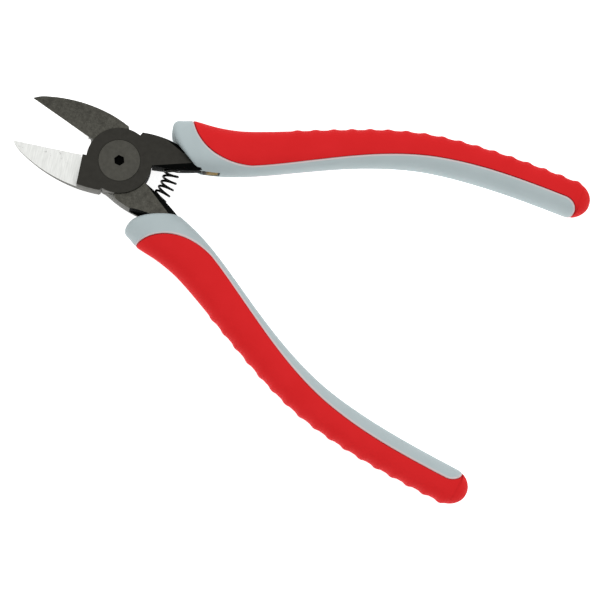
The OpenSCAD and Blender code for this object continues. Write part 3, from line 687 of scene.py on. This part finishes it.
for node, body, side in (("upper_core", "front", "upper"), ("lower_core", "rear", "lower")):
    core = mesh_piece(node + "_moulding", to_row(np.concatenate(core_points), side), core_faces)
    cut(core, tang_room, *tang_z, side)
    cut(core, shank_room, -shank_z, shank_z, side)
    cut(core, slot_room, -shank_z - hair, shank_z + hair, side)
    # points that the cuts leave in the middle of an edge are taken out
    bm = bmesh.new()
    bm.from_mesh(core.data)
    bmesh.ops.dissolve_verts(bm, verts=[v for v in bm.verts if len(v.link_edges) == 2])
    bm.to_mesh(core.data)
    bm.free()
    own = np.array([to_own(v.co, side) for v in core.data.vertices])
    # the pale pink painted highlight along the seam
    mark(core, "seam", seam_highlight_most * (1 - eased((from_seam(own) - seam_highlight_start) / seam_highlight_width)))
    core.data.shade_smooth()
    core.data.set_sharp_from_angle(angle=math.radians(38))
    core.data.materials.append(grey_rubber)
    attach(core, body)
    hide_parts(node)

# Grip covers: the second shot, a red elastomer skin round the outer side of each handle, closed over
# its end, with seventeen low cross ribs on the outer edge for the palm and the fingers.
rib_count = 17
first_rib = 46.6
rib_pitch = 4.72
rib_width = 3.4
rib_heights = (0.3, 0.42)  # of the first and the last rib
rib_fade = (45, 85)  # degrees from the outer side over which a rib runs out
cover_rows = 30
cap_rings = 12
cap_reach = 0.99  # the last ring of the end, as a share of its length
# the dark line by the seam is painted shade
seam_shade_start = 0.1  # the dark line fades from here, in mm from the seam
seam_shade_width = 0.3


def rib_lift(x, psi):
    """Height of the ribs, which fade away towards the flat sides of the handle."""
    k = np.clip(np.round((x - first_rib) / rib_pitch), 0, rib_count - 1)
    d = np.abs(x - first_rib - k * rib_pitch) / rib_width
    high = rib_heights[0] + (rib_heights[1] - rib_heights[0]) * k / (rib_count - 1)
    fade = 1 - eased((np.abs(np.degrees(psi)) - rib_fade[0]) / (rib_fade[1] - rib_fade[0]))
    return np.where(d < 0.5, high * np.cos(math.pi * d) ** 2, 0) * fade


outer_points, inner_points = [], []
for x, seam_at in zip(seam_x[1:], seam_psi[1:]):
    edge = seam_at - seam_gap * (seam_at < math.pi - 1e-3)
    psi = along_section(lambda a: x + 0 * a, 0.0, edge, cover_rows)
    psi = np.concatenate([-psi[::-1], psi[1:]])
    depths = rolled(from_seam(grip_skin(x + 0 * psi, psi)), seam_round)
    outer_points.append(grip_skin(x + 0 * psi, psi, depths, rib_lift(x, psi)))
    inner_points.append(grip_skin(x + 0 * psi, psi, cover_thick))
open_rings = len(outer_points)
row = len(psi)
psi = np.linspace(-math.pi, math.pi, row)
for turn in np.linspace(0, math.pi / 2, cap_rings)[1:]:
    x = strip_end + (grip_end - strip_end) * math.sin(turn) * cap_reach
    outer_points.append(grip_skin(x + 0 * psi, psi))
base = len(outer_points) * row
cover_faces = [(j * row + i, j * row + i + 1, (j + 1) * row + i + 1, (j + 1) * row + i)
               for j in range(len(outer_points) - 1) for i in range(row - 1)]
for here in range(base, base + (open_rings - 1) * row, row):
    there = here + row
    cover_faces += [(here + i, there + i, there + i + 1, here + i + 1) for i in range(row - 1)]
for j in range(open_rings - 1):
    for i in (0, row - 1):
        cover_faces.append((j * row + i, (j + 1) * row + i, base + (j + 1) * row + i, base + j * row + i))
cover_faces += [(i, i + 1, base + i + 1, base + i) for i in range(row - 1)]
cover_faces.append(tuple(range((len(outer_points) - 1) * row, len(outer_points) * row - 1)))
cover_faces.append(tuple(range(base + (open_rings - 1) * row, base + open_rings * row - 1)))

# Red thermoplastic elastomer: a strong even red, quite matt, with the tooth of an eroded mould. Next to the
# seam it is painted darker, a line of painted shade in the crease at the seam.
red_rubber, tree, place = empty_material("red_thermoplastic_elastomer")
cloud = add(tree, "TexNoise", {"Vector": place, "Scale": 1 / (7 * mm), "Detail": 4.0})
shade = add(tree, "Mix", {0: cloud.outputs[0], 6: linear("#D92527"), 7: linear("#E32B2E")}, data_type="RGBA")
seam_shade = add(tree, "Attribute", attribute_name="seam")
dark = add(tree, "Mix", {0: seam_shade.outputs["Fac"], 6: shade.outputs[2], 7: linear("#A51C20")},
           data_type="RGBA")
tooth = add(tree, "TexNoise", {"Vector": place, "Scale": 1 / (0.3 * mm), "Detail": 3.0})
gloss = add(tree, "MapRange", {"Value": tooth.outputs[0], "To Min": 0.44, "To Max": 0.6})
bump = add(tree, "Bump", {"Height": tooth.outputs[0], "Strength": 0.15, "Distance": 0.02 * mm})
rubber = add(tree, "BsdfPrincipled", {"Base Color": dark.outputs[2], "Roughness": gloss.outputs[0],
                                      "IOR": 1.48, "Specular IOR Level": 0.02,
                                      "Normal": bump.outputs[0]})
add(tree, "OutputMaterial", {"Surface": rubber.outputs[0]})

for node, body, side in (("upper_cover", "front", "upper"), ("lower_cover", "rear", "lower")):
    skin = to_row(np.concatenate(outer_points + inner_points), side)
    cover = mesh_piece(node + "_moulding", skin, cover_faces, sharp=60)
    own = np.array([to_own(v.co, side) for v in cover.data.vertices])
    # the dark red painted shade along the seam
    mark(cover, "seam", 1 - eased((from_seam(own) - seam_shade_start) / seam_shade_width))
    cover.data.materials.append(red_rubber)
    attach(cover, body)
    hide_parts(node)

# Glue: amber adhesive squeezed out between the tang and the collar when the grip was pushed on. It
# set as a rounded, slightly lumpy bead along the slot on the inner side.
bead_x = (22.4, 26.8)
bead_high = 5.34
bead_floor = (2.03, 2.13, 2.8)  # bend of its open side
bead_roof = (2.28, 4.13)
bead_round = 0.12  # share of its length that rounds off each end
bead_rings = 22
bead_sides = 20
thick_until = 22.9  # it lies thick up to here, and thin from here
thin_from = 24.2
bead_points = []
for s in np.linspace(0, 1, bead_rings):
    floor_y = (1 - s) ** 2 * bead_floor[0] + 2 * s * (1 - s) * bead_floor[1] + s * s * bead_floor[2]
    roof_y = bead_roof[0] + (bead_roof[1] - bead_roof[0]) * s
    lump = 0.05 * math.sin(9 * s + 1.0) + 0.03 * math.sin(23 * s)
    from_end = min(1, s / bead_round, (1 - s) / bead_round)
    end = min(1.0, math.sqrt(max(0.0, 1 - (1 - from_end) ** 2)) + 0.02)
    for a in np.linspace(0, 2 * math.pi, bead_sides, endpoint=False):
        x = bead_x[0] + (bead_x[1] - bead_x[0]) * s
        y = (floor_y + roof_y) / 2 + (roof_y - floor_y) / 2 * end * signed_power(math.sin(a), 0.7)
        z = bead_high / 2 * end * signed_power(math.cos(a), 0.45)
        bead_points.append((x, y - (lump if math.sin(a) < -0.3 else 0), z))
last = len(bead_points) - bead_sides
bead_faces = ring_faces(bead_rings, bead_sides)
bead_faces += [tuple(range(bead_sides)), tuple(range(last, last + bead_sides))]

# Amber adhesive: golden brown, dulled by handling, nearly black where it lies thick.
amber, tree, place = empty_material("amber_adhesive")
cloud = add(tree, "TexNoise", {"Vector": place, "Scale": 1 / (1.1 * mm), "Detail": 3.0})
shade = add(tree, "Mix", {0: cloud.outputs[0], 6: linear("#6A5220"), 7: linear("#A88A48")}, data_type="RGBA")
depth = add(tree, "Attribute", attribute_name="depth")
deep = add(tree, "Mix", {0: depth.outputs["Fac"], 6: shade.outputs[2], 7: linear("#241C10")},
           data_type="RGBA")
gloss = add(tree, "MapRange", {"Value": cloud.outputs[0], "To Min": 0.3, "To Max": 0.5})
resin = add(tree, "BsdfPrincipled", {"Base Color": deep.outputs[2], "Roughness": gloss.outputs[0],
                                     "IOR": 1.52, "Specular IOR Level": 0.01})
add(tree, "OutputMaterial", {"Surface": resin.outputs[0]})

for node, body, side in (("upper_glue", "front", "upper"), ("lower_glue", "rear", "lower")):
    bead = mesh_piece(node + "_bead", to_row(bead_points, side), bead_faces, sharp=60)
    along = np.array([to_own(v.co, side)[0] for v in bead.data.vertices])
    mark(bead, "depth", 1 - eased((along - thick_until) / (thin_from - thick_until)))
    bead.data.materials.append(amber)
    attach(bead, body)
    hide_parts(node)

# Lit white table: the pale floor under the tool, shone through from below as in catalogue photographs,
# so that it stays white and hardly takes a shadow.
table_half = 6.0  # metres
table_gap = 0.02 * mm  # under the lowest point of the tool
corners = [(-table_half, -table_half, 0), (table_half, -table_half, 0),
           (table_half, table_half, 0), (-table_half, table_half, 0)]
floor_mesh = bpy.data.meshes.new("floor")
floor_mesh.from_pydata(corners, [], [(0, 1, 2, 3)])
floor = bpy.data.objects.new("floor", floor_mesh)
bpy.context.scene.collection.objects.link(floor)
floor.location.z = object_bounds()[0][2] - table_gap
table, tree, _ = empty_material("lit_white_acrylic")
acrylic = add(tree, "BsdfPrincipled", {"Base Color": linear("#F2F2F2"), "Roughness": 0.7,
                                       "Emission Color": linear("#FFFFFF"), "Emission Strength": 0.8})
add(tree, "OutputMaterial", {"Surface": acrylic.outputs[0]})
floor_mesh.materials.append(table)

# Camera: a long lens from the front and a little below the tool, as in the photograph.
sensor = 36.0
focal_px = 2055
picture_px = 600
distance = 0.551348
aim = Vector((0.059312, -0.013557, 0.004))
back = Vector((-0.03942, -0.15179, 0.98763)).normalized()
up = Vector((-0.40473, 0.91437, 0.0))
up = (up - back * up.dot(back)).normalized()
right = up.cross(back)
lens = bpy.data.cameras.new("camera")
lens.sensor_width = sensor
lens.sensor_height = sensor
lens.sensor_fit = "HORIZONTAL"
lens.lens = sensor * focal_px / picture_px
lens.clip_start = 0.01
lens.clip_end = 20.0
camera = bpy.data.objects.new("camera", lens)
bpy.context.scene.collection.objects.link(camera)
turned_to = Matrix((right, up, back)).transposed().to_4x4()
camera.matrix_world = Matrix.Translation(aim + back * distance) @ turned_to
bpy.context.scene.camera = camera

# Studio light: one large soft box overhead in a pale room, over the lit table.
world = bpy.data.worlds.new("pale_room")
bpy.context.scene.world = world
world.use_nodes = True
room = world.node_tree.nodes["Background"]
room.inputs["Color"].default_value = linear("#FFFFFF")
room.inputs["Strength"].default_value = 0.28
soft_box = bpy.data.lights.new("soft_box", "AREA")
soft_box.energy = 15.5
soft_box.size = 2.2
soft_box_stand = bpy.data.objects.new("soft_box", soft_box)
bpy.context.scene.collection.objects.link(soft_box_stand)
offset = up * 0.15 + right * 0.05 + Vector((0, 0, 0.95))
soft_box_stand.location = aim + offset
soft_box_stand.rotation_euler = offset.to_track_quat("Z", "Y").to_euler()
bpy.context.scene.view_settings.view_transform = "Standard"
